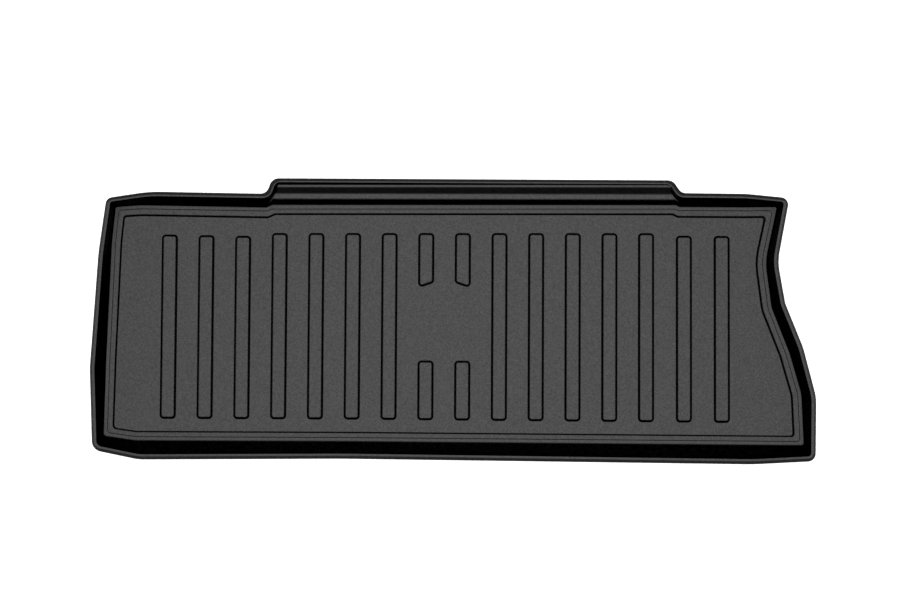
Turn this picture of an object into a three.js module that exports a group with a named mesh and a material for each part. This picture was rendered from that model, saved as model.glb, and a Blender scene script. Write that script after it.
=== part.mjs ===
// Car boot liner: one moulded rubber tray with raised ribs, raked walls and a flat rim.
// Millimetres. X runs across the car, Y runs from the boot sill to the seats, Z is up.
// The origin is the middle of the outline, on the flat face that lies on the boot floor.
import * as THREE from 'three';

// Overall sizes
const length = 1047.4;
const depth = 410.4;
const height = 40;

// The sheet, measured straight down on the floor and straight out on the walls
const sheet = 3;
const sheetOut = 2.2;

// Flat rim with its outer edge turned down
const lipDrop = 4.5;
const lipSlopeDrop = 2;
const lipSlopeRun = 3.1;
const rimWidth = 6.4;
const edgeRound = 1.3;

// Border land round the ribbed field and its width on each side, with a faint crease near the wall
const borderHeight = 8;
const nearBorder = 15.1;
const rightBorder = 16;
const farBorder = 16.7;
const leftBorder = 15.7;
const backBorder = 15.7;
const creaseInset = 5.4;
const creaseDrop = 1;
const stepRun = 3.2;

// Extension of the far side, with a ledge and a shelf on its back wall. Pairs are for its two ends.
const extensionReach = 19.4;
const extensionLeft = -267.5;
const extensionRight = 323.3;
const leftJogRun = 8;
const rightJogRun = 12.7;
const ledgeDrop = 7;
const ledgeSetback = [2.8, 0.2];
const ledgeWidth = 3.5;
const shelfHeight = 23.5;
const shelfWallRun = [8.2, 9.1];
const shelfWidth = 8.5;
const footJog = [3.8, 2.7];

// Long ribs: spacing follows from the outline and the count
const ribCount = 16;
const ribWidth = 23.4;
const ribHeight = 4.4;
const ribSideRun = 3.2;
const ribCornerRadius = 5.8;
const firstRibInset = 109.1;
const lastRibInset = 132.2;
const wideGapExtra = 1.7;
const wideGaps = 2;
const farRibGap = 25.7;
const nearRibGap = 16.8;

// The two middle ribs stop short of a bare patch
const brokenRibs = [7, 8];
const patchFarEdge = 48.5;
const patchNearEdge = -57;
const patchSlant = 8;

// Outline corners, counter-clockwise from the near left one. Each names the side that follows it, and
// has the way from it to the corner that the foot of the walls makes there.
const halfLength = length / 2;
const halfDepth = depth / 2;
const farY = halfDepth - extensionReach;
const nearCorners = [
  { x: -halfLength + 4.9, y: -halfDepth + 16, radius: 16, steps: 10, side: 'near', foot: [11.4, 19.9] },
  { x: -halfLength + 72.1, y: -halfDepth + 2.4, radius: 90, steps: 3, side: 'near', foot: [-8.8, 27] },
  { x: -160, y: -halfDepth + 5, radius: 3000, steps: 3, side: 'near', foot: [12, 24.7] },
  { x: halfLength - 90.9, y: -halfDepth, radius: 400, steps: 3, side: 'near', foot: [0, 27.6] },
  { x: halfLength - 1, y: -halfDepth + 5, radius: 12, steps: 10, side: 'right', foot: [-12.3, 22.3] },
];
const waistCorners = [
  { x: halfLength + 0.2, y: -halfDepth + 97.1, radius: 75, steps: 5, side: 'right', foot: [-16.7, 4.9] },
  { x: halfLength - 18.5, y: halfDepth - 241.4, radius: 95, steps: 5, side: 'right', foot: [-15.1, -7.2] },
  { x: halfLength - 44.1, y: halfDepth - 177.8, radius: 36, steps: 5, side: 'right', foot: [-15.4, -5] },
  { x: halfLength - 54.7, y: halfDepth - 117.2, radius: 80, steps: 8, side: 'right', foot: [-13.6, 1.9] },
];
const rightFarCorners = [
  { x: halfLength - 37.4, y: farY - 5.6, radius: 11, steps: 8, side: 'far', foot: [-13.4, -9.5] },
  { x: halfLength - 100.2, y: farY + 0.2, radius: 120, steps: 3, side: 'far', foot: [0, -16.2] },
];
const rightJog = [extensionRight + rightJogRun / 2, extensionRight - rightJogRun / 2];
const leftJog = [extensionLeft + leftJogRun / 2, extensionLeft - leftJogRun / 2];
const extensionCorners = [
  { end: 'farRight', x: rightJog[0], y: farY + 0.9, steps: 6, side: 'jog', foot: [0, -16.9] },
  { end: 'backRight', x: rightJog[1], y: halfDepth, steps: 6, side: 'back', foot: [7.4, 0] },
  { end: 'backLeft', x: leftJog[0], y: halfDepth, steps: 6, side: 'jog', foot: [-2, 0] },
  { end: 'farLeft', x: leftJog[1], y: farY - 3.2, steps: 6, side: 'far', foot: [-2.2, -16.7] },
];
const leftCorners = [
  { x: -halfLength + 82.7, y: farY - 1, radius: 200, steps: 3, side: 'far', foot: [-16.9, -16.6] },
  { x: -halfLength + 20.3, y: farY - 10.6, radius: 11, steps: 8, side: 'left', foot: [9, -9.8] },
  { x: -halfLength + 10.1, y: halfDepth - 108.3, radius: 300, steps: 3, side: 'left', foot: [14.4, 16.7] },
  { x: -halfLength - 0.1, y: -halfDepth + 133.9, radius: 90, steps: 3, side: 'left', foot: [18.7, 15.2] },
];
const outline = [...nearCorners, ...waistCorners, ...rightFarCorners, ...extensionCorners, ...leftCorners];
const cornerAt = (end) => extensionCorners.find((corner) => corner.end === end);

// Meeting point of two straight edges, each moved inwards (to its left) by its own inset.
function meetInset(before, corner, after, insetBefore, insetAfter) {
  const directionIn = new THREE.Vector2(corner.x - before.x, corner.y - before.y).normalize();
  const directionOut = new THREE.Vector2(after.x - corner.x, after.y - corner.y).normalize();
  const sine = directionIn.cross(directionOut);
  if (Math.abs(sine) < 1e-4) {
    return new THREE.Vector2(corner.x - directionIn.y * insetBefore, corner.y + directionIn.x * insetBefore);
  }
  // Step along the first edge that puts the point at the second inset
  const cosine = directionIn.dot(directionOut);
  const along = (insetBefore * cosine - insetAfter) / sine;
  return new THREE.Vector2(
    corner.x - directionIn.y * insetBefore + directionIn.x * along,
    corner.y + directionIn.x * insetBefore + directionIn.y * along,
  );
}

// Rounds every corner of a polygon with an arc, keeping the number of points per corner fixed.
// A nearly straight corner still gets an arc of some length, so its points stay apart.
const shortestTangent = 1.5;
function roundCorners(corners) {
  const points = [];
  corners.forEach((corner, index) => {
    const before = corners[(index + corners.length - 1) % corners.length];
    const after = corners[(index + 1) % corners.length];
    const toBefore = before.point.clone().sub(corner.point);
    const toAfter = after.point.clone().sub(corner.point);
    const room = 0.48 * Math.min(toBefore.length(), toAfter.length());
    toBefore.normalize();
    toAfter.normalize();
    const turn = Math.PI - Math.acos(THREE.MathUtils.clamp(toBefore.dot(toAfter), -1, 1));
    const tangent = Math.min(Math.max(corner.radius * Math.tan(turn / 2), shortestTangent), room);
    const radius = tangent / Math.tan(turn / 2);
    const middle = toBefore.clone().add(toAfter).normalize();
    const centre = corner.point.clone().addScaledVector(middle, Math.hypot(tangent, radius));
    const start = corner.point.clone().addScaledVector(toBefore, tangent).sub(centre);
    const swing = Math.sign(toAfter.cross(toBefore)) * turn;
    for (let step = 0; step <= corner.steps; step += 1) {
      const spoke = start.clone().rotateAround(new THREE.Vector2(), swing * step / corner.steps);
      points.push(centre.clone().add(spoke));
    }
  });
  return points;
}

// A ring is one level line round the tray. It has its height, its share of the way from the head of
// the walls to their foot, its even inset from the outline, and what each side adds to that. Its back
// line has an inset at each end of the extension. The extension's corners lie towards its middle by
// their own shifts, given in the order far left, back left, back right and far right.
const sides = ['near', 'right', 'far', 'left', 'back', 'jog'];
function onEachSide(widthOf) {
  return Object.fromEntries(sides.map((side) => [side, widthOf(side)]));
}

// A ring that follows the outline at an even distance. The shifts keep that distance at the two jogs.
function rimRing(z, inset, back = inset) {
  return {
    ...onEachSide(() => 0),
    z,
    share: 0,
    inset,
    backLeft: back,
    backRight: back,
    farLeftShift: 0.67 * inset,
    backLeftShift: 0.67 * inset,
    backRightShift: 0.54 * inset,
    farRightShift: 0.54 * inset,
    farRadius: 12 + 0.5 * inset,
    backRadius: 14 - 0.7 * inset,
  };
}

// A ring part of the way down the walls, with its own back line and its own ends of the extension.
const wallHead = height - edgeRound;
const wallHeadInset = rimWidth + edgeRound;
function wallRing(z, [backLeft, backRight], shifts, [farRadius, backRadius]) {
  const [farLeftShift, backLeftShift, backRightShift, farRightShift] = shifts;
  return {
    ...rimRing(z, wallHeadInset),
    share: (wallHead - z) / (wallHead - borderHeight),
    backLeft,
    backRight,
    farLeftShift,
    backLeftShift,
    backRightShift,
    farRightShift,
    farRadius,
    backRadius,
  };
}

// Insets of the back wall's lines. Its foot lies a short jog beyond the foot of the far wall.
const ledgeBack = ledgeSetback.map((setback) => rimWidth + setback);
const ledgeEdge = ledgeBack.map((inset) => inset + ledgeWidth);
const shelfBack = ledgeEdge.map((inset, end) => inset + shelfWallRun[end]);
const shelfEdge = shelfBack.map((inset) => inset + shelfWidth);
const backFoot = ['farLeft', 'farRight'].map((end, index) => (
  halfDepth - cornerAt(end).y - cornerAt(end).foot[1] - footJog[index]
));

const footShifts = ['farLeft', 'backLeft', 'backRight', 'farRight'].map((end) => (
  -Math.sign(cornerAt(end).x) * cornerAt(end).foot[0]
));

// A ring of the border, measured inwards from the foot of the walls.
function borderRing(z, widthOf, radii) {
  return { ...wallRing(borderHeight, backFoot, footShifts, radii), ...onEachSide(widthOf), z };
}

// Corners of a ring, before what each side adds.
function placeCorners(ring) {
  const placed = outline.map((corner, index) => {
    const before = outline.at(index - 1);
    const after = outline[(index + 1) % outline.length];
    const head = corner.end === undefined
      ? meetInset(before, corner, after, ring.inset, ring.inset)
      : new THREE.Vector2(corner.x, corner.y - ring.inset);
    const foot = new THREE.Vector2(corner.x + corner.foot[0], corner.y + corner.foot[1]);
    return head.lerp(foot, ring.share);
  });
  outline.forEach((corner, index) => {
    if (corner.end === undefined) {
      return;
    }
    const outwards = Math.sign(corner.x);
    const x = corner.x - outwards * ring[`${corner.end}Shift`];
    if (corner.end.startsWith('back')) {
      placed[index].set(x, halfDepth - ring[corner.end]);
    } else {
      // This corner slides along the line of the far side
      const beside = placed[index - outwards];
      const slope = (placed[index].y - beside.y) / (placed[index].x - beside.x);
      placed[index].set(x, beside.y + slope * (x - beside.x));
    }
  });
  return placed;
}

// One level ring of the tray, with its corners rounded.
function trayRing(ring) {
  const placed = placeCorners(ring);
  const corners = outline.map((corner, index) => {
    const before = outline.at(index - 1);
    const after = outline[(index + 1) % outline.length];
    const next = placed[(index + 1) % outline.length];
    const point = meetInset(placed.at(index - 1), placed[index], next, ring[before.side], ring[corner.side]);
    if (corner.end !== undefined) {
      const endRadius = corner.end.startsWith('back') ? ring.backRadius : ring.farRadius;
      return { point, radius: endRadius, steps: corner.steps };
    }
    // The arc keeps its centre as the ring moves inwards
    const edgeIn = new THREE.Vector2(corner.x - before.x, corner.y - before.y);
    const edgeOut = new THREE.Vector2(after.x - corner.x, after.y - corner.y).normalize();
    const movedIn = edgeOut.cross(new THREE.Vector2(point.x - corner.x, point.y - corner.y));
    const radius = corner.radius - Math.sign(edgeIn.cross(edgeOut)) * movedIn;
    return { point, radius: Math.max(radius, 0.35 * corner.radius), steps: corner.steps };
  });
  return roundCorners(corners).map((point) => new THREE.Vector3(point.x, point.y, ring.z));
}

// How far apart two rings lie, at the near side or at the back, whichever is more
const gaugeCorners = [nearCorners.at(-2), cornerAt('backLeft')].map((corner) => outline.indexOf(corner));
function spacing(ring, other) {
  const corners = placeCorners(ring);
  const otherCorners = placeCorners(other);
  const gaps = gaugeCorners.map((index) => Math.abs(corners[index].y - otherCorners[index].y));
  return Math.hypot(ring.z - other.z, Math.abs(ring.near - other.near) + Math.max(...gaps));
}

// A ring part of the way from one ring to another
function blend(ring, other, share) {
  const entries = Object.entries(ring);
  return Object.fromEntries(entries.map(([key, value]) => [key, value + (other[key] - value) * share]));
}

// Rings along a profile. A corner that is given a cut becomes two rings, that far before and after it.
function takeOffCorners(profile) {
  return profile.flatMap(([ring, cut], index) => {
    if (cut === 0) {
      return [ring];
    }
    return [profile[index - 1][0], profile[index + 1][0]].map((other) => (
      blend(ring, other, Math.min(cut / spacing(ring, other), 0.49))
    ));
  });
}

// Upper side, from the bottom of the turned-down edge to the edge of the ribbed field
const landHeight = borderHeight - creaseDrop;
const rimInner = rimRing(height, wallHeadInset - 0.3, rimWidth - 0.2);
const ledgeInner = wallRing(height - ledgeDrop, ledgeBack, [6, 8.8, 3.9, 4], [3, 1.5]);
const ledgeOuter = wallRing(height - ledgeDrop - 0.2, ledgeEdge, [6, 7.6, 2.8, 4], [3, 1.5]);
const shelfInner = wallRing(shelfHeight + 0.4, shelfBack, [3, 3.2, -0.2, 2.5], [3, 2]);
const shelfOuter = wallRing(shelfHeight - 0.2, shelfEdge, [3, 1.2, -4.4, 2.5], [3, 2]);
const wallFoot = borderRing(borderHeight, () => 0.3, [4, 4]);
const creaseOuter = borderRing(borderHeight, () => creaseInset, [6, 5]);
const creaseInner = borderRing(landHeight, (side) => creaseInset + (side === 'back' ? 3 : 1), [6, 5]);
const widths = {
  near: nearBorder,
  right: rightBorder,
  far: farBorder,
  left: leftBorder,
  back: backBorder,
  jog: (farBorder + backBorder) / 2,
};
const landEdge = borderRing(landHeight, (side) => widths[side] - stepRun, [11, 7]);
const fieldEdge = borderRing(sheet, (side) => widths[side], [12, 8]);
const upperRings = takeOffCorners([
  [rimRing(height - lipDrop, 0), 0],
  [rimRing(height - lipSlopeDrop, 0.3), 0],
  [rimRing(height, 0.3 + lipSlopeRun), 0.9],
  [rimInner, 0.9],
  [ledgeInner, 0.8],
  [ledgeOuter, 1.2],
  [shelfInner, 1.8],
  [shelfOuter, 2.6],
  [wallFoot, 1.8],
  [creaseOuter, 0],
  [creaseInner, 0],
  [landEdge, 1.2],
  [fieldEdge, 0],
]);

// Under side: the same form, one sheet further out and down
function underOf(ring) {
  const moved = { ...ring, z: ring.z - sheet };
  sides.forEach((side) => {
    moved[side] -= sheetOut;
  });
  return moved;
}
const wallsAndFloor = [
  ledgeInner, ledgeOuter, shelfInner, shelfOuter, wallFoot, creaseOuter, creaseInner, landEdge, fieldEdge,
];
const lowerRings = [
  rimRing(height - lipDrop, sheetOut),
  rimRing(height - sheet, sheetOut + 0.9),
  ...wallsAndFloor.map(underOf),
];

// Triangles are gathered here, as corners in counter-clockwise order seen from outside.
const triangles = [];
function addTriangle(a, b, c) {
  triangles.push(a.x, a.y, a.z, b.x, b.y, b.z, c.x, c.y, c.z);
}

// Band between two loops with the same number of points; the first one lies outside.
function addBand(outer, inner, facesUp) {
  outer.forEach((corner, index) => {
    const next = (index + 1) % outer.length;
    if (facesUp) {
      addTriangle(corner, outer[next], inner[next]);
      addTriangle(corner, inner[next], inner[index]);
    } else {
      addTriangle(corner, inner[next], outer[next]);
      addTriangle(corner, inner[index], inner[next]);
    }
  });
}

// Level face between a loop and a smaller one inside it, whatever their numbers of points.
// It walks round both from their near left corners, and outerIsNext says which one takes a step.
function addLevelRing(outer, inner, facesUp, outerIsNext) {
  let o = 0;
  let i = 0;
  while (o < outer.length || i < inner.length) {
    const fromOuter = outer[o % outer.length];
    const fromInner = inner[i % inner.length];
    const stepsOuter = i === inner.length || (o < outer.length && outerIsNext(o, i));
    o += stepsOuter ? 1 : 0;
    i += stepsOuter ? 0 : 1;
    const third = stepsOuter ? outer[o % outer.length] : inner[i % inner.length];
    if (facesUp) {
      addTriangle(fromOuter, third, fromInner);
    } else {
      addTriangle(fromOuter, fromInner, third);
    }
  }
}

// Between a rib and its cell: both are convex, so the shorter crossing edge serves.
function addCellFace(cell, foot, facesUp) {
  const gap = (a, b) => Math.hypot(a.x - b.x, a.y - b.y);
  const next = (loop, index) => loop[(index + 1) % loop.length];
  addLevelRing(cell, foot, facesUp, (o, i) => (
    gap(next(cell, o), foot[i % foot.length]) < gap(cell[o % cell.length], next(foot, i))
  ));
}

// Between the cells and the wavy edge of the field: each loop's box is squeezed to a square, and
// the loop whose next point comes sooner in a turn about the middle takes the step.
function addFieldStrip(edge, block, facesUp) {
  const turnsRound = (loop) => {
    const box = new THREE.Box2().setFromPoints(loop);
    const centre = box.getCenter(new THREE.Vector2());
    const size = box.getSize(new THREE.Vector2());
    const turns = loop.map((point) => {
      const angle = Math.atan2((point.y - centre.y) / size.y, (point.x - centre.x) / size.x);
      return THREE.MathUtils.euclideanModulo(angle / (2 * Math.PI) + 0.4, 1);
    });
    return [...turns, 1];
  };
  const edgeTurns = turnsRound(edge);
  const blockTurns = turnsRound(block);
  addLevelRing(edge, block, facesUp, (o, i) => edgeTurns[o + 1] < blockTurns[i + 1]);
}

function atLevel(points, z) {
  return points.map((point) => new THREE.Vector3(point.x, point.y, z));
}

// Level face that fills a convex loop, laid across it in strips.
function addLevelFace(loop, facesUp) {
  let low = 0;
  let high = loop.length - 1;
  while (high - low > 1) {
    const third = (low + loop.length - 1 - high) % 2 === 0 ? low + 1 : high - 1;
    if (facesUp) {
      addTriangle(loop[low], loop[third], loop[high]);
    } else {
      addTriangle(loop[low], loop[high], loop[third]);
    }
    if (third === low + 1) {
      low += 1;
    } else {
      high -= 1;
    }
  }
}

// Where the edge of the ribbed field lies at a given place across the tray
function fieldEdgeAt(x, wantsFar) {
  const loop = trayRing(fieldEdge);
  let found = 0;
  loop.forEach((start, index) => {
    const end = loop[(index + 1) % loop.length];
    if ((start.x - x) * (end.x - x) <= 0 && start.x !== end.x && (start.x > end.x) === wantsFar) {
      found = start.y + (end.y - start.y) * (x - start.x) / (end.x - start.x);
    }
  });
  return found;
}

// Ribs: four corners each, counter-clockwise from the near left one
const firstRib = -halfLength + firstRibInset;
const lastRib = halfLength - lastRibInset;
const ribPitch = (lastRib - firstRib - wideGaps * wideGapExtra) / (ribCount - 1);
function ribCorners(x, nearLeft, nearRight, far) {
  return [
    { x: x - ribWidth / 2, y: nearLeft },
    { x: x + ribWidth / 2, y: nearRight },
    { x: x + ribWidth / 2, y: far },
    { x: x - ribWidth / 2, y: far },
  ];
}
const ribs = [];
for (let index = 0; index < ribCount; index += 1) {
  const x = firstRib + ribPitch * index + wideGapExtra * Math.max(0, index - (ribCount - 1 - wideGaps));
  const far = fieldEdgeAt(x, true) - farRibGap;
  const near = fieldEdgeAt(x, false) + nearRibGap;
  const isBroken = brokenRibs.includes(index);
  const slant = index === brokenRibs[0] ? [0, patchSlant] : [patchSlant, 0];
  const nearPad = ribCorners(x, near, near, patchNearEdge);
  const farPad = ribCorners(x, patchFarEdge + slant[0], patchFarEdge + slant[1], far);
  const pads = isBroken ? [nearPad, farPad] : [ribCorners(x, near, near, far)];
  ribs.push({ x, near, far, isBroken, pads });
}

// Lines halfway between the ribs cut the field into cells. Their points run from near to far.
const cellMargin = 0.4 * nearRibGap;
function cellLine(index) {
  const left = ribs[Math.max(index - 1, 0)];
  const right = ribs[Math.min(index, ribCount - 1)];
  const endReach = ribWidth / 2 + cellMargin;
  const outwards = index === 0 ? -endReach : index === ribCount ? endReach : 0;
  const levels = [Math.min(left.near, right.near) - cellMargin, Math.max(left.far, right.far) + cellMargin];
  if (left.isBroken || right.isBroken || outwards !== 0) {
    levels.splice(1, 0, patchNearEdge + cellMargin, patchFarEdge - cellMargin);
  }
  return levels.map((y) => ({ x: (left.x + right.x) / 2 + outwards, y }));
}
const cellLines = Array.from({ length: ribCount + 1 }, (_, index) => cellLine(index));

// One level loop round a rib, taken in from its foot
function ribLoop(corners, z, inset) {
  const moved = corners.map((corner, index) => ({
    point: meetInset(corners[(index + 3) % 4], corner, corners[(index + 1) % 4], inset, inset),
    radius: Math.max(ribCornerRadius - inset, 0.3 * ribCornerRadius),
    steps: 4,
  }));
  return roundCorners(moved).map((point) => new THREE.Vector3(point.x, point.y, z));
}

// A rib stands up from the field, and is hollow below. Its cell of the field comes with it.
function addRib(corners, cell) {
  const top = sheet + ribHeight;
  const foot = ribLoop(corners, sheet, 0);
  const shoulder = ribLoop(corners, top - 0.8, 0.66 * ribSideRun);
  const head = ribLoop(corners, top, ribSideRun);
  addCellFace(atLevel(cell, sheet), foot, true);
  addBand(foot, shoulder, true);
  addBand(shoulder, head, true);
  addLevelFace(head, true);
  const mouth = ribLoop(corners, 0, sheetOut);
  const roof = ribLoop(corners, ribHeight, sheetOut + ribSideRun);
  addCellFace(atLevel(cell, 0), mouth, false);
  addBand(mouth, roof, false);
  addLevelFace(roof, false);
}

// The ribbed field: a cell for each rib, the bare patch, and the plain strip round them all
function addField(upperEdge, lowerEdge) {
  ribs.forEach((rib, index) => {
    const left = cellLines[index];
    const right = cellLines[index + 1];
    if (rib.isBroken) {
      const [nearPad, farPad] = rib.pads;
      const patch = [left[1], right[1], right[2], left[2]];
      addRib(nearPad, [left[0], right[0], right[1], left[1]]);
      addRib(farPad, [left[2], right[2], right[3], left[3]]);
      addLevelFace(atLevel(patch, sheet), true);
      addLevelFace(atLevel(patch, 0), false);
    } else {
      addRib(rib.pads[0], [left[0], ...right, ...left.slice(1).reverse()]);
    }
  });
  const nearEnds = cellLines.map((line) => line[0]);
  const farEnds = cellLines.map((line) => line.at(-1)).reverse();
  const rightEnd = cellLines.at(-1).slice(1, -1);
  const leftEnd = cellLines[0].slice(1, -1).reverse();
  const block = [...nearEnds, ...rightEnd, ...farEnds, ...leftEnd];
  addFieldStrip(upperEdge, atLevel(block, sheet), true);
  addFieldStrip(lowerEdge, atLevel(block, 0), false);
}

// The whole moulding as one closed skin
function buildLiner() {
  const upper = upperRings.map(trayRing);
  const lower = lowerRings.map(trayRing);
  for (let index = 1; index < upper.length; index += 1) {
    addBand(upper[index - 1], upper[index], true);
  }
  addBand(upper[0], lower[0], false);
  for (let index = 1; index < lower.length; index += 1) {
    addBand(lower[index - 1], lower[index], false);
  }
  addField(upper.at(-1), lower.at(-1));
  const geometry = new THREE.BufferGeometry();
  geometry.setAttribute('position', new THREE.Float32BufferAttribute(triangles, 3));
  geometry.computeVertexNormals();
  return geometry;
}

const rubber = new THREE.MeshStandardMaterial({ color: 0x2a2b2c, roughness: 0.62, metalness: 0 });
const liner = new THREE.Mesh(buildLiner(), rubber);
liner.name = 'boot_liner';

const part = new THREE.Group();
part.name = 'car_boot_liner';
part.add(liner);

export default part;
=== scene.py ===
"""A moulded rubber boot liner: its skin, its looks and the stage it lies on."""
import math

import bmesh
import bpy
import numpy as np
from mathutils import Matrix, Vector


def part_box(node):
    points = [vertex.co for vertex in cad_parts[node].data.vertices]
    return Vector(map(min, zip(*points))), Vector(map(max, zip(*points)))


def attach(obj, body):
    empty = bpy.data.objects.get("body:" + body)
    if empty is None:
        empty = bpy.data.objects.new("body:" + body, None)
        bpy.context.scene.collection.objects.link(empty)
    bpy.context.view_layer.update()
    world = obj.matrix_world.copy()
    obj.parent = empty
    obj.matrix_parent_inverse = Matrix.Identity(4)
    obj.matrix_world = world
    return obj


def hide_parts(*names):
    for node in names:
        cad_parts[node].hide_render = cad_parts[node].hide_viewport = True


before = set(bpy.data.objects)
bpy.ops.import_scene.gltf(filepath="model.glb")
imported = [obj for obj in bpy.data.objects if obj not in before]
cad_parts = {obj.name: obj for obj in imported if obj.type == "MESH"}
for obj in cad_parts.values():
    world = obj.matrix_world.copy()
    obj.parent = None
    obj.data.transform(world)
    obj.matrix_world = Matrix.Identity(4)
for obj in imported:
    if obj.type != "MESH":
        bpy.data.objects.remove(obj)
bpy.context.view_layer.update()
low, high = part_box("boot_liner")
MM = 0.001

# Overall sizes come from the frame
half_length = (high.x - low.x) / 2
half_depth = (high.y - low.y) / 2
height = high.z

# The sheet, its thickness when level and its thickness from side to side in the walls, and its rim
sheet = 3 * MM
sheet_out = 2.2 * MM
lip_drop = 4.5 * MM
lip_lean = 0.3 * MM
lip_hollow_lean = 0.9 * MM
lip_slope_drop = 2.6 * MM
rim_width = 6.4 * MM
edge_round = 1.3 * MM
rim_edge_setback = 0.3 * MM
back_rim_edge_setback = 0.2 * MM

# Border round the ribbed field, with a crease in it and a step down at its inner edge
border_height = 8 * MM
foot_setback = 0.3 * MM
crease_inset = 5.4 * MM
crease_run = 0.8 * MM
back_crease_extra = 2 * MM
crease_drop = 1 * MM
step_setback = 1.8 * MM
field_edge_width = 1.2 * MM

# Widths by side: near, right, far, left, the back of the extension, and the jogs at its two ends
SIDES = ("near", "right", "far", "left", "back", "jog")
borders = np.array((15.1, 16, 16.7, 15.7, 15.7, 16.2)) * MM
step_runs = np.array((1.5, 2.5, 2.3, 1.9, 2.2, 2.2)) * MM
lip_slope_runs = np.array((4.2, 3.1, 4.3, 3.1, 4.1, 5.2)) * MM
wall_head_shifts = np.array((0.2, 0, -0.5, 0, 0, 0.3)) * MM

# Extension of the far side, with a ledge and a shelf on its back wall. Pairs are for its left and right end.
extension_reach = 19.4 * MM
extension_left = -267.5 * MM
extension_right = 323.3 * MM
left_jog_run = 8 * MM
right_jog_run = 12.7 * MM
far_jog_radius_mm = 12
back_jog_radius_mm = 14
ledge_drop = 7 * MM
ledge_setback = np.array((2.8, 0.2)) * MM
ledge_width = 3.5 * MM
ledge_fall = 0.2 * MM
shelf_height = 23.5 * MM
shelf_back_rise = 0.4 * MM
shelf_edge_fall = 0.2 * MM
shelf_wall_run = np.array((8.2, 9.1)) * MM
shelf_width = 8.5 * MM
foot_jog = np.array((3.8, 2.7)) * MM

# Shares of a rim ring's inset by which the extension's ends move in, and by which their radii change
left_end_share = 0.67
right_end_share = 0.54
far_radius_gain = 0.5
back_radius_loss = 0.7

# Ends of the lines along the extension's back wall, in millimetres: how far their corners lie towards its
# middle (far left, back left, back right, far right), and the radii there (at the far side, at the back)
ledge_back_ends = (6, 8.8, 3.9, 4), (3, 1.5)
ledge_edge_ends = (6, 7.6, 2.8, 4), (3, 1.5)
shelf_back_ends = (3, 3.2, -0.2, 2.5), (3, 2)
shelf_edge_ends = (3, 1.2, -4.4, 2.5), (3, 2)
foot_radii = 4, 4
crease_radii = 6, 5
step_radii = 11, 7
field_radii = 12, 8

# How far the corners of the profile are eased along both their sides, from the lip to the field, and the
# steps of each curve on the upper and the lower side
lip_ease = 0.5 * MM
rim_ease = 0.9 * MM
ledge_back_ease = 0.8 * MM
ledge_edge_ease = 1.2 * MM
shelf_back_ease = 1.8 * MM
shelf_edge_ease = 2.6 * MM
foot_ease = 1.8 * MM
crease_outer_ease = 0.5 * MM
crease_inner_ease = 0.6 * MM
step_head_ease = 1 * MM
step_foot_ease = 0.6 * MM
under_ease = 0.8 * MM
upper_steps = 4
lower_steps = 2

# Ribs
rib_count = 16
rib_width = 23.4 * MM
rib_height = 4.4 * MM
rib_side_run = 3.2 * MM
rib_corner_radius = 5.8 * MM
rib_corner_steps = 6
first_rib_inset = 109.1 * MM
last_rib_inset = 132.2 * MM
wide_gap_extra = 1.7 * MM
wide_gaps = 2
far_rib_gap = 25.7 * MM
near_rib_gap = 16.8 * MM
broken_ribs = (7, 8)
patch_far_edge = 48.5 * MM
patch_near_edge = -57 * MM
patch_slant = 8 * MM
cell_margin = 0.4 * near_rib_gap

# Side of a rib and of the hollow below it: the level strips round its foot and head, how far its head
# lies inside the plain slope, and the easing of its foot and head
rib_foot_strip = 0.5 * MM
rib_foot_ease = 0.45 * MM
rib_head_lead = 0.3 * MM
rib_head_ease = 1 * MM
rib_head_strip = 1.2 * MM
hollow_foot_strip = 0.6 * MM
hollow_foot_ease = 0.5 * MM
hollow_head_lead = 0.4 * MM
hollow_head_ease = 0.8 * MM
hollow_head_strip = 1 * MM
rib_side_steps = 4
hollow_side_steps = 3

# Limits of the roundings: the shortest one, shares of an edge, of a ring's gap and of a radius, and the sine
# of the turn under which a corner counts as straight
shortest_tangent = 1.5 * MM
edge_share = 0.48
gap_share = 0.49
least_radius_share = 0.35
least_rib_radius_share = 0.3
nearly_straight = 1e-4

# Digits kept where corners are welded, and how far large faces set the shading of their corners
welded_digits = 7
flat_face_weight = 100

# Rubber: its shades, the paler shade of the highlight painted on its edges, and its gloss
shade_dark = 0.002
shade_pale = 0.004
edge_highlight_shade = 0.01
gloss = 0.3
rough_range = 0.34, 0.54

# Grains of the rubber as (bumps a metre, detail), their bumps as (strength, height), and the part of each
# noise that is spread over the shades and over the roughness
mottling = 220, 4
mottle_range = 0.35, 0.65
pebble_grain = 480, 2
pebble_range = 0.25, 0.75
pebble_bump = 0.6, 0.3 * MM
fine_grain = 1400, 2
fine_bump = 0.4, 0.2 * MM
sag = 14, 3
sag_bump = 0.15, 0.8 * MM

# Painted highlight on edges: how far it reaches, and the likeness of the surface to a rounded one where it
# starts and is complete
edge_highlight_reach = 1.2 * MM
edge_highlight_range = 0.995, 0.93
edge_highlight_samples = 4

# Stage: a pale floor, a softbox overhead and a studio, with a shade for each sine of the height of the view
floor_size = 40
floor_drop = 0.5 * MM
floor_shade = 0.93
floor_roughness = 0.9
floor_gloss = 0.1
floor_glow = 0.5
softbox_place = Vector((0, 0, 5))
softbox_size = 5
softbox_power = 400
black_level = 0.0065
studio_shades = (
    (-1, 0.6), (-0.06, 0.6), (0, 0.05), (0.2, 0.15), (0.45, 0.65), (0.7, 0.7), (0.85, 0.3), (0.95, 0.02),
    (1, 0.02),
)

# Camera: nearly overhead, far off and turned a little, as in the photograph
camera_lens = 85
camera_sensor = 36
camera_distance = 3.17
camera_tilt = math.radians(3.2)
camera_roll = math.radians(0.3)
camera_aim = Vector((0.0097, 0.0221, 0.003))
camera_reach = 100


# Outline

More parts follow.
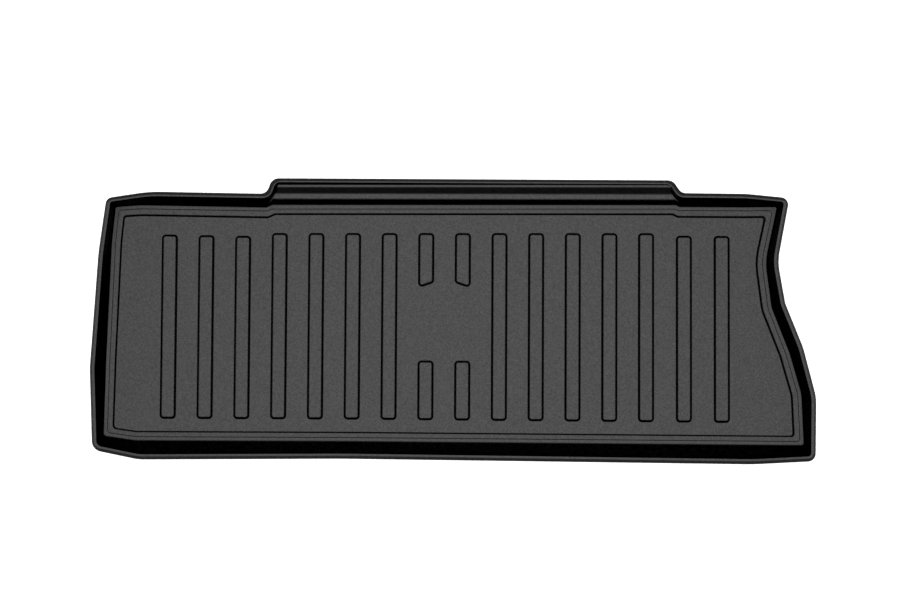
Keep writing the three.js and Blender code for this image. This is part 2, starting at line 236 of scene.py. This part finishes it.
def corner(x, y, radius_mm, steps, side, foot_mm):
    """A corner of the outline, with the side that follows it and the way from it to the wall's foot."""
    return {
        "at": np.array((x, y)), "radius": radius_mm * MM, "steps": steps, "side": side,
        "foot": np.array(foot_mm) * MM,
    }


# Counter-clockwise from the near left corner
far_y = half_depth - extension_reach
outline = [
    corner(-half_length + 4.9 * MM, -half_depth + 16 * MM, 16, 12, "near", (11.4, 19.9)),
    corner(-half_length + 72.1 * MM, -half_depth + 2.4 * MM, 90, 5, "near", (-8.8, 27)),
    corner(-160 * MM, -half_depth + 5 * MM, 3000, 6, "near", (12, 24.7)),
    corner(half_length - 90.9 * MM, -half_depth, 400, 6, "near", (0, 27.6)),
    corner(half_length - 1 * MM, -half_depth + 5 * MM, 12, 12, "right", (-12.3, 22.3)),
    corner(half_length + 0.2 * MM, -half_depth + 97.1 * MM, 75, 8, "right", (-16.7, 4.9)),
    corner(half_length - 18.5 * MM, half_depth - 241.4 * MM, 95, 8, "right", (-15.1, -7.2)),
    corner(half_length - 44.1 * MM, half_depth - 177.8 * MM, 36, 8, "right", (-15.4, -5)),
    corner(half_length - 54.7 * MM, half_depth - 117.2 * MM, 80, 10, "right", (-13.6, 1.9)),
    corner(half_length - 37.4 * MM, far_y - 5.6 * MM, 11, 10, "far", (-13.4, -9.5)),
    corner(half_length - 100.2 * MM, far_y + 0.2 * MM, 120, 5, "far", (0, -16.2)),
    corner(extension_right + right_jog_run / 2, far_y + 0.9 * MM, far_jog_radius_mm, 8, "jog", (0, -16.9)),
    corner(extension_right - right_jog_run / 2, half_depth, back_jog_radius_mm, 8, "back", (7.4, 0)),
    corner(extension_left + left_jog_run / 2, half_depth, back_jog_radius_mm, 8, "jog", (-2, 0)),
    corner(extension_left - left_jog_run / 2, far_y - 3.2 * MM, far_jog_radius_mm, 8, "far", (-2.2, -16.7)),
    corner(-half_length + 82.7 * MM, far_y - 1 * MM, 200, 6, "far", (-16.9, -16.6)),
    corner(-half_length + 20.3 * MM, far_y - 10.6 * MM, 11, 10, "left", (9, -9.8)),
    corner(-half_length + 10.1 * MM, half_depth - 108.3 * MM, 300, 5, "left", (14.4, 16.7)),
    corner(-half_length - 0.1 * MM, -half_depth + 133.9 * MM, 90, 5, "left", (18.7, 15.2)),
]
near_gauge, far_right, back_right, back_left, far_left = 3, 11, 12, 13, 14


def cross(a, b):
    return a[0] * b[1] - a[1] * b[0]


def unit(v):
    return v / np.hypot(*v)


def meet_inset(before, at, after, inset_before, inset_after):
    """Meeting point of two straight edges, each moved to its left by its own inset."""
    way_in = unit(at - before)
    way_out = unit(after - at)
    moved = at + inset_before * np.array((-way_in[1], way_in[0]))
    sine = cross(way_in, way_out)
    if abs(sine) < nearly_straight:
        return moved
    return moved + way_in * (inset_before * way_in.dot(way_out) - inset_after) / sine


def round_corners(corners):
    """Arcs at the corners of a polygon of (point, radius, steps). Nearly straight ones get some length."""
    points = []
    for index, (at, radius, steps) in enumerate(corners):
        before = corners[index - 1][0] - at
        after = corners[(index + 1) % len(corners)][0] - at
        room = edge_share * min(np.hypot(*before), np.hypot(*after))
        before, after = unit(before), unit(after)
        turn = math.pi - math.acos(np.clip(before.dot(after), -1, 1))
        tangent = min(max(radius * math.tan(turn / 2), shortest_tangent), room)
        reach = math.hypot(tangent, tangent / math.tan(turn / 2))
        centre = at + unit(before + after) * reach
        spoke = at + before * tangent - centre
        swing = math.copysign(turn, cross(after, before))
        for step in range(steps + 1):
            c, s = math.cos(swing * step / steps), math.sin(swing * step / steps)
            points.append(centre + (spoke[0] * c - spoke[1] * s, spoke[0] * s + spoke[1] * c))
    return np.array(points)


# A ring of the tray is a vector: its height; its place between the rim (0) and the foot of the
# walls (1); its even inset from the outline; the further inset of each side; the inset of the
# extension's left and right end; how far the corners of its ends lie towards its middle; their radii.

HEIGHT, SHARE, INSET = 0, 1, 2
BEYOND, BACK, ENDS, RADII = slice(3, 9), slice(9, 11), slice(11, 15), slice(15, 17)
wall_head = height - edge_round
wall_head_inset = rim_width + edge_round
extension_ends = (far_left, back_left, back_right, far_right)


def rim_ring(z, inset, back=None, beyond=(0,) * len(SIDES)):
    """A ring that follows the outline at an even distance, and further in by side."""
    left, right = left_end_share * inset, right_end_share * inset
    back = inset if back is None else back
    far_radius = far_jog_radius_mm * MM + far_radius_gain * inset
    back_radius = back_jog_radius_mm * MM - back_radius_loss * inset
    return np.array((z, 0, inset, *beyond, back, back, left, left, right, right, far_radius, back_radius))


def wall_ring(z, back, ends_mm, radii_mm):
    """A ring part of the way down the walls, with its own inset and end corners at the extension."""
    share = (wall_head - z) / (wall_head - border_height)
    ends = [size * MM for size in (*ends_mm, *radii_mm)]
    return np.array((z, share, wall_head_inset, *[0] * len(SIDES), *back, *ends))


# Insets of the back wall's lines. Its foot lies a short jog beyond the foot of the far wall.
ledge_back = rim_width + ledge_setback
ledge_edge = ledge_back + ledge_width
shelf_back = ledge_edge + shelf_wall_run
shelf_edge = shelf_back + shelf_width
far_foot = np.array([(outline[end]["at"] + outline[end]["foot"])[1] for end in (far_left, far_right)])
back_foot = half_depth - far_foot - foot_jog
foot_ends_mm = [-np.sign(outline[end]["at"][0]) * outline[end]["foot"][0] / MM for end in extension_ends]


def border_ring(z, beyond, radii_mm):
    """A ring of the border, which lies further in from the wall's foot by side."""
    ring = wall_ring(border_height, back_foot, foot_ends_mm, radii_mm)
    ring[HEIGHT] = z
    ring[BEYOND] = beyond
    return ring


def place_corners(ring):
    """Corners of a ring, before the further inset of the sides."""
    placed = []
    for index, spot in enumerate(outline):
        before, after = outline[index - 1], outline[(index + 1) % len(outline)]
        if index in extension_ends:
            moved = spot["at"] - (0, ring[INSET])
        else:
            moved = meet_inset(before["at"], spot["at"], after["at"], ring[INSET], ring[INSET])
        placed.append(moved + (spot["at"] + spot["foot"] - moved) * ring[SHARE])
    for index, shift in zip(extension_ends, ring[ENDS]):
        outwards = int(np.sign(outline[index]["at"][0]))
        x = outline[index]["at"][0] - outwards * shift
        if index == back_left:
            y = half_depth - ring[BACK][0]
        elif index == back_right:
            y = half_depth - ring[BACK][1]
        else:
            beside = placed[index - outwards]
            slope = (placed[index][1] - beside[1]) / (placed[index][0] - beside[0])
            y = beside[1] + slope * (x - beside[0])
        placed[index] = np.array((x, y))
    return placed


def tray_loop(ring):
    """One ring of the tray with its rounded corners, as points in space."""
    placed = place_corners(ring)
    beyond = dict(zip(SIDES, ring[BEYOND]))
    corners = []
    for index, (spot, at) in enumerate(zip(outline, placed)):
        before, after = outline[index - 1], outline[(index + 1) % len(outline)]
        first, second = beyond[before["side"]], beyond[spot["side"]]
        moved = meet_inset(placed[index - 1], at, placed[(index + 1) % len(placed)], first, second)
        if index in extension_ends:
            radius = ring[RADII][0 if index in (far_left, far_right) else 1]
        else:
            turn = np.sign(cross(spot["at"] - before["at"], after["at"] - spot["at"]))
            depth_in = cross(unit(after["at"] - spot["at"]), moved - spot["at"])
            radius = max(spot["radius"] - turn * depth_in, least_radius_share * spot["radius"])
        corners.append((moved, radius, spot["steps"]))
    return [Vector((x, y, ring[HEIGHT])) for x, y in round_corners(corners)]


def spacing(ring, other):
    """How far apart two rings lie, at the near side or at the back, whichever is more."""
    here, there = place_corners(ring), place_corners(other)
    gaps = [abs(here[index][1] - there[index][1]) for index in (near_gauge, back_left)]
    return math.hypot(ring[HEIGHT] - other[HEIGHT], abs(ring[BEYOND][0] - other[BEYOND][0]) + max(gaps))


def part_way(ring, other, ease):
    """A ring a short way from one ring towards another."""
    return ring + (other - ring) * min(ease / spacing(ring, other), gap_share)


def soften(corners, steps):
    """Rings along a profile whose corners, given as (ring, ease), are eased by curves."""
    rings = [corners[0][0]]
    for (before, _), (ring, ease), (after, _) in zip(corners, corners[1:], corners[2:]):
        start, end = part_way(ring, before, ease), part_way(ring, after, ease)
        for t in np.linspace(0, 1, steps + 1):
            rings.append((1 - t) ** 2 * start + 2 * t * (1 - t) * ring + t * t * end)
    rings.append(corners[-1][0])
    return rings


# Profile of the upper side, from the bottom of the turned-down edge to the field

land_height = border_height - crease_drop
crease_outer = crease_inset * np.ones(len(SIDES))
crease_inner = crease_outer + crease_run
crease_inner[SIDES.index("back")] += back_crease_extra
step_middle = borders - step_setback
foot_edge = foot_setback * np.ones(len(SIDES))
back_rim_edge = rim_width - back_rim_edge_setback
lip_and_rim = [
    (rim_ring(height - lip_drop, 0), 0),
    (rim_ring(height - lip_slope_drop, lip_lean), lip_ease),
    (rim_ring(height, lip_lean, beyond=lip_slope_runs), rim_ease),
    (rim_ring(height, wall_head_inset - rim_edge_setback, back_rim_edge, wall_head_shifts), rim_ease),
]
wall_and_border = [
    (wall_ring(height - ledge_drop, ledge_back, *ledge_back_ends), ledge_back_ease),
    (wall_ring(height - ledge_drop - ledge_fall, ledge_edge, *ledge_edge_ends), ledge_edge_ease),
    (wall_ring(shelf_height + shelf_back_rise, shelf_back, *shelf_back_ends), shelf_back_ease),
    (wall_ring(shelf_height - shelf_edge_fall, shelf_edge, *shelf_edge_ends), shelf_edge_ease),
    (border_ring(border_height, foot_edge, foot_radii), foot_ease),
    (border_ring(border_height, crease_outer, crease_radii), crease_outer_ease),
    (border_ring(land_height, crease_inner, crease_radii), crease_inner_ease),
    (border_ring(land_height, step_middle - step_runs / 2, step_radii), step_head_ease),
    (border_ring(sheet, step_middle + step_runs / 2, field_radii), step_foot_ease),
    (border_ring(sheet, borders + field_edge_width, field_radii), 0),
]
upper_profile = lip_and_rim + wall_and_border


def under(ring):
    """The same ring on the under side: one sheet further out and down."""
    lowered = ring.copy()
    lowered[HEIGHT] -= sheet
    lowered[BEYOND] -= sheet_out
    return lowered


lower_profile = [
    (rim_ring(height - lip_drop, 0), 0),
    (rim_ring(height - lip_drop, sheet_out), lip_ease),
    (rim_ring(height - sheet, sheet_out + lip_hollow_lean), lip_ease),
] + [(under(ring), under_ease) for ring, _ in wall_and_border]


# Mesh

class Skin:
    """Gathers a closed skin of welded corners."""

    def __init__(self):
        self.mesh = bmesh.new()
        self.welded = {}

    def vertex(self, point):
        key = tuple(round(c, welded_digits) for c in point)
        if key not in self.welded:
            self.welded[key] = self.mesh.verts.new(point)
        return self.welded[key]

    def face(self, points, faces_up):
        corners = [self.vertex(p) for p in (points if faces_up else reversed(points))]
        if len(set(corners)) == len(corners):
            self.mesh.faces.new(corners).smooth = True

    def bands(self, loops, faces_up):
        """Bands of four-cornered faces from each loop to the next one in."""
        for outer, inner in zip(loops, loops[1:]):
            for i in range(len(outer)):
                j = (i + 1) % len(outer)
                self.face((outer[i], outer[j], inner[j], inner[i]), faces_up)

    def level_ring(self, outer, inner, faces_up, outer_is_next):
        """Level face between two loops, walked round from their near left corners."""
        o = i = 0
        while o < len(outer) or i < len(inner):
            start, facing = outer[o % len(outer)], inner[i % len(inner)]
            steps_outer = i == len(inner) or (o < len(outer) and outer_is_next(o, i))
            o += steps_outer
            i += not steps_outer
            third = outer[o % len(outer)] if steps_outer else inner[i % len(inner)]
            self.face((start, third, facing), faces_up)


def at_level(points, z):
    return [Vector((p[0], p[1], z)) for p in points]


def cell_face(skin, cell, foot, faces_up):
    """Field round one rib: both loops are convex, so the shorter crossing edge serves."""
    def outer_is_next(o, i):
        next_cell, next_foot = cell[(o + 1) % len(cell)], foot[(i + 1) % len(foot)]
        return (next_cell - foot[i % len(foot)]).length < (cell[o % len(cell)] - next_foot).length
    skin.level_ring(cell, foot, faces_up, outer_is_next)


def field_strip(skin, edge, block, faces_up):
    """Field between the cells and its wavy edge, paired by their turn from the near left about the middle."""
    near_left_turn = 0.4

    def turns_round(loop):
        flat = np.array([p[:2] for p in loop])
        middle = (flat.max(0) + flat.min(0)) / 2
        size = flat.max(0) - flat.min(0)
        x, y = ((flat - middle) / size).T
        return [*((np.arctan2(y, x) / math.tau + near_left_turn) % 1), 1]
    edge_turns, block_turns = turns_round(edge), turns_round(block)
    skin.level_ring(edge, block, faces_up, lambda o, i: edge_turns[o + 1] < block_turns[i + 1])


# Ribs and the cells of the field round them

def field_edge_at(loop, x, wants_far):
    """Where the edge of the field lies at a place across the tray."""
    for start, end in zip(loop, loop[1:] + loop[:1]):
        if min(start.x, end.x) <= x < max(start.x, end.x) and (start.x > end.x) == wants_far:
            return start.y + (end.y - start.y) * (x - start.x) / (end.x - start.x)
    raise ValueError("no field edge there")


def rib_corners(x, near_left, near_right, far):
    left, right = x - rib_width / 2, x + rib_width / 2
    return [np.array(p) for p in ((left, near_left), (right, near_right), (right, far), (left, far))]


def lay_out_ribs():
    """Places, ends and pads of the ribs, from left to right."""
    edge = tray_loop(border_ring(sheet, borders, field_radii))
    first = -half_length + first_rib_inset
    last = half_length - last_rib_inset
    pitch = (last - first - wide_gaps * wide_gap_extra) / (rib_count - 1)
    ribs = []
    for index in range(rib_count):
        x = first + pitch * index + wide_gap_extra * max(0, index - (rib_count - 1 - wide_gaps))
        far = field_edge_at(edge, x, True) - far_rib_gap
        near = field_edge_at(edge, x, False) + near_rib_gap
        broken = index in broken_ribs
        if broken:
            left_slant, right_slant = (0, patch_slant) if index == broken_ribs[0] else (patch_slant, 0)
            far_pad = rib_corners(x, patch_far_edge + left_slant, patch_far_edge + right_slant, far)
            pads = [rib_corners(x, near, near, patch_near_edge), far_pad]
        else:
            pads = [rib_corners(x, near, near, far)]
        ribs.append({"x": x, "near": near, "far": far, "broken": broken, "pads": pads})
    return ribs


def cell_line(ribs, index):
    """Points of the line between two ribs, from near to far."""
    left, right = ribs[max(index - 1, 0)], ribs[min(index, rib_count - 1)]
    end_reach = rib_width / 2 + cell_margin
    outwards = {0: -end_reach, rib_count: end_reach}.get(index, 0)
    levels = [min(left["near"], right["near"]) - cell_margin, max(left["far"], right["far"]) + cell_margin]
    if left["broken"] or right["broken"] or outwards:
        levels[1:1] = [patch_near_edge + cell_margin, patch_far_edge - cell_margin]
    return [((left["x"] + right["x"]) / 2 + outwards, y) for y in levels]


def rib_loop(corners, z, inset):
    """A loop round a rib with rounded corners, at one height and inset."""
    moved = []
    for index, at in enumerate(corners):
        point = meet_inset(corners[index - 1], at, corners[(index + 1) % 4], inset, inset)
        radius = max(rib_corner_radius - inset, least_rib_radius_share * rib_corner_radius)
        moved.append((point, radius, rib_corner_steps))
    return at_level(round_corners(moved), z)


def eased(profile, steps):
    """Points along a flat profile of (inset, height, ease), with its inner corners eased."""
    points = [np.array(profile[0][:2])]
    for before, here, after in zip(profile, profile[1:], profile[2:]):
        at = np.array(here[:2])
        start, end = (at + unit(np.array(other[:2]) - at) * here[2] for other in (before, after))
        for t in np.linspace(0, 1, steps + 1):
            points.append((1 - t) ** 2 * start + 2 * t * (1 - t) * at + t * t * end)
    return points + [np.array(profile[-1][:2])]


def add_rib(skin, corners, cell):
    """A rib stands up from the field, and is hollow below."""
    top = sheet + rib_height
    side = eased([
        (-rib_foot_strip, sheet, 0),
        (0, sheet, rib_foot_ease),
        (rib_side_run - rib_head_lead, top, rib_head_ease),
        (rib_side_run + rib_head_strip, top, 0),
    ], rib_side_steps)
    inner_run = sheet_out + rib_side_run
    inside = eased([
        (sheet_out - hollow_foot_strip, 0, 0),
        (sheet_out, 0, hollow_foot_ease),
        (inner_run - hollow_head_lead, rib_height, hollow_head_ease),
        (inner_run + hollow_head_strip, rib_height, 0),
    ], hollow_side_steps)
    for profile, level, faces_up in ((side, sheet, True), (inside, 0, False)):
        loops = [rib_loop(corners, z, inset) for inset, z in profile]
        cell_face(skin, at_level(cell, level), loops[0], faces_up)
        skin.bands(loops, faces_up)
        skin.face(loops[-1], faces_up)


def add_field(skin, upper_edge, lower_edge):
    """The level field with its ribs, above and below."""
    ribs = lay_out_ribs()
    lines = [cell_line(ribs, index) for index in range(rib_count + 1)]
    for rib, left, right in zip(ribs, lines, lines[1:]):
        if rib["broken"]:
            near_pad, far_pad = rib["pads"]
            patch = (left[1], right[1], right[2], left[2])
            add_rib(skin, near_pad, (left[0], right[0], right[1], left[1]))
            add_rib(skin, far_pad, (left[2], right[2], right[3], left[3]))
            skin.face(at_level(patch, sheet), True)
            skin.face(at_level(patch, 0), False)
        else:
            add_rib(skin, rib["pads"][0], (left[0], *right, *left[:0:-1]))
    block = [line[0] for line in lines] + lines[-1][1:-1]
    block += [line[-1] for line in reversed(lines)] + lines[0][-2:0:-1]
    field_strip(skin, upper_edge, at_level(block, sheet), True)
    field_strip(skin, lower_edge, at_level(block, 0), False)


def build_liner():
    skin = Skin()
    upper = [tray_loop(ring) for ring in soften(upper_profile, upper_steps)]
    lower = [tray_loop(ring) for ring in soften(lower_profile, lower_steps)]
    skin.bands(upper, True)
    skin.bands(lower, False)
    add_field(skin, upper[-1], lower[-1])
    data = bpy.data.meshes.new("boot_liner_skin")
    skin.mesh.to_mesh(data)
    skin.mesh.free()
    liner = bpy.data.objects.new("boot_liner_skin", data)
    bpy.context.scene.collection.objects.link(liner)
    weighted = liner.modifiers.new("flat faces stay flat", "WEIGHTED_NORMAL")
    weighted.weight = flat_face_weight
    return liner


# Materials

def noise(tree, scale, detail):
    """Noise in the object's own space."""
    place = tree.nodes.new("ShaderNodeTexCoord")
    texture = tree.nodes.new("ShaderNodeTexNoise")
    texture.inputs["Scale"].default_value = scale
    texture.inputs["Detail"].default_value = detail
    tree.links.new(place.outputs["Object"], texture.inputs["Vector"])
    return texture.outputs["Fac"]


def spread(tree, value, from_range, to_range):
    """Maps a value from one range to another."""
    node = tree.nodes.new("ShaderNodeMapRange")
    node.inputs["From Min"].default_value, node.inputs["From Max"].default_value = from_range
    node.inputs["To Min"].default_value, node.inputs["To Max"].default_value = to_range
    tree.links.new(value, node.inputs["Value"])
    return node.outputs["Result"]


def blend_shades(tree, factor, first, second):
    """Blends a grey, or the colour from another node, into a second grey."""
    node = tree.nodes.new("ShaderNodeMix")
    node.data_type = "RGBA"
    colours = [socket for socket in node.inputs if socket.type == "RGBA"]
    tree.links.new(factor, node.inputs["Factor"])
    for socket, shade in zip(colours, (first, second)):
        if isinstance(shade, bpy.types.NodeSocket):
            tree.links.new(shade, socket)
        else:
            socket.default_value = (shade, shade, shade, 1)
    return next(socket for socket in node.outputs if socket.type == "RGBA")


def bump(tree, grain, size, below=None):
    """A bump of some strength and height from a grain, laid over another one."""
    node = tree.nodes.new("ShaderNodeBump")
    node.inputs["Strength"].default_value, node.inputs["Distance"].default_value = size
    tree.links.new(grain, node.inputs["Height"])
    if below is not None:
        tree.links.new(below, node.inputs["Normal"])
    return node.outputs["Normal"]


def painted_edge_highlight(tree):
    """1 on sharp edges, falling to 0 a short way from them: where the painted highlight lies."""
    geometry = tree.nodes.new("ShaderNodeNewGeometry")
    rounded = tree.nodes.new("ShaderNodeBevel")
    rounded.samples = edge_highlight_samples
    rounded.inputs["Radius"].default_value = edge_highlight_reach
    likeness = tree.nodes.new("ShaderNodeVectorMath")
    likeness.operation = "DOT_PRODUCT"
    tree.links.new(geometry.outputs["Normal"], likeness.inputs[0])
    tree.links.new(rounded.outputs["Normal"], likeness.inputs[1])
    return spread(tree, likeness.outputs["Value"], edge_highlight_range, (0, 1))


def liner_rubber():
    """Black moulded rubber, pebble-grained and a little mottled, with a highlight painted along its edges."""
    material = bpy.data.materials.new("liner_rubber")
    material.use_nodes = True
    tree = material.node_tree
    shader = tree.nodes["Principled BSDF"]
    shader.inputs["Specular IOR Level"].default_value = gloss

    mottles = spread(tree, noise(tree, *mottling), mottle_range, (0, 1))
    colour = blend_shades(tree, mottles, shade_dark, shade_pale)
    # Painted highlight: a paler base colour along the edges, convex and concave alike, stands in for light
    # caught there
    colour = blend_shades(tree, painted_edge_highlight(tree), colour, edge_highlight_shade)
    tree.links.new(colour, shader.inputs["Base Color"])

    pebbles = noise(tree, *pebble_grain)
    tree.links.new(spread(tree, pebbles, pebble_range, rough_range), shader.inputs["Roughness"])
    normal = bump(tree, pebbles, pebble_bump)
    normal = bump(tree, noise(tree, *fine_grain), fine_bump, normal)
    normal = bump(tree, noise(tree, *sag), sag_bump, normal)
    tree.links.new(normal, shader.inputs["Normal"])
    return material


# Stage, lights and camera

def make_floor():
    """A pale floor that glows a little, so it stays nearly white."""
    bpy.ops.mesh.primitive_plane_add(size=floor_size, location=(0, 0, -floor_drop))
    floor = bpy.context.object
    floor.name = "floor"
    material = bpy.data.materials.new("pale_floor")
    material.use_nodes = True
    shader = material.node_tree.nodes["Principled BSDF"]
    shader.inputs["Base Color"].default_value = (floor_shade, floor_shade, floor_shade, 1)
    shader.inputs["Roughness"].default_value = floor_roughness
    shader.inputs["Specular IOR Level"].default_value = floor_gloss
    shader.inputs["Emission Color"].default_value = (1, 1, 1, 1)
    shader.inputs["Emission Strength"].default_value = floor_glow
    floor.data.materials.append(material)


def make_softbox():
    """A square light overhead, facing the middle of the tray."""
    light = bpy.data.lights.new("overhead", "AREA")
    light.shape = "SQUARE"
    light.size = softbox_size
    light.energy = softbox_power
    lamp = bpy.data.objects.new("overhead", light)
    lamp.location = softbox_place
    lamp.rotation_euler = (-softbox_place).to_track_quat("-Z", "Y").to_euler()
    bpy.context.scene.collection.objects.link(lamp)


def make_world():
    """A studio whose shade changes with the sine of the height at which it is seen."""
    world = bpy.data.worlds.new("studio")
    world.use_nodes = True
    tree = world.node_tree
    place = tree.nodes.new("ShaderNodeTexCoord")
    split = tree.nodes.new("ShaderNodeSeparateXYZ")
    ramp = tree.nodes.new("ShaderNodeValToRGB")
    stops = ramp.color_ramp.elements
    for sine, shade in studio_shades:
        if sine == -1:
            stop = stops[0]
        elif sine == 1:
            stop = stops[-1]
        else:
            stop = stops.new((sine + 1) / 2)
        stop.color = (shade, shade, shade, 1)
    tree.links.new(place.outputs["Generated"], split.inputs["Vector"])
    tree.links.new(spread(tree, split.outputs["Z"], (-1, 1), (0, 1)), ramp.inputs["Fac"])
    tree.links.new(ramp.outputs["Color"], tree.nodes["Background"].inputs["Color"])
    bpy.context.scene.world = world


def make_camera():
    camera = bpy.data.cameras.new("camera")
    camera.lens = camera_lens
    camera.sensor_width = camera_sensor
    camera.clip_end = camera_reach
    viewer = bpy.data.objects.new("camera", camera)
    turn = Matrix.Rotation(camera_tilt, 4, "X") @ Matrix.Rotation(camera_roll, 4, "Z")
    back = turn @ Vector((0, 0, camera_distance))
    viewer.matrix_world = Matrix.Translation(camera_aim + back) @ turn
    bpy.context.scene.collection.objects.link(viewer)
    bpy.context.scene.camera = viewer


def set_tone():
    """Plain colours, with the deepest shade taken down to black."""
    view = bpy.context.scene.view_settings
    view.view_transform = "Standard"
    view.use_curve_mapping = True
    view.curve_mapping.black_level = (black_level, black_level, black_level)
    view.curve_mapping.update()


liner = build_liner()
liner.data.materials.append(liner_rubber())
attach(liner, "root")
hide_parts("boot_liner")

make_floor()
make_softbox()
make_world()
make_camera()
set_tone()
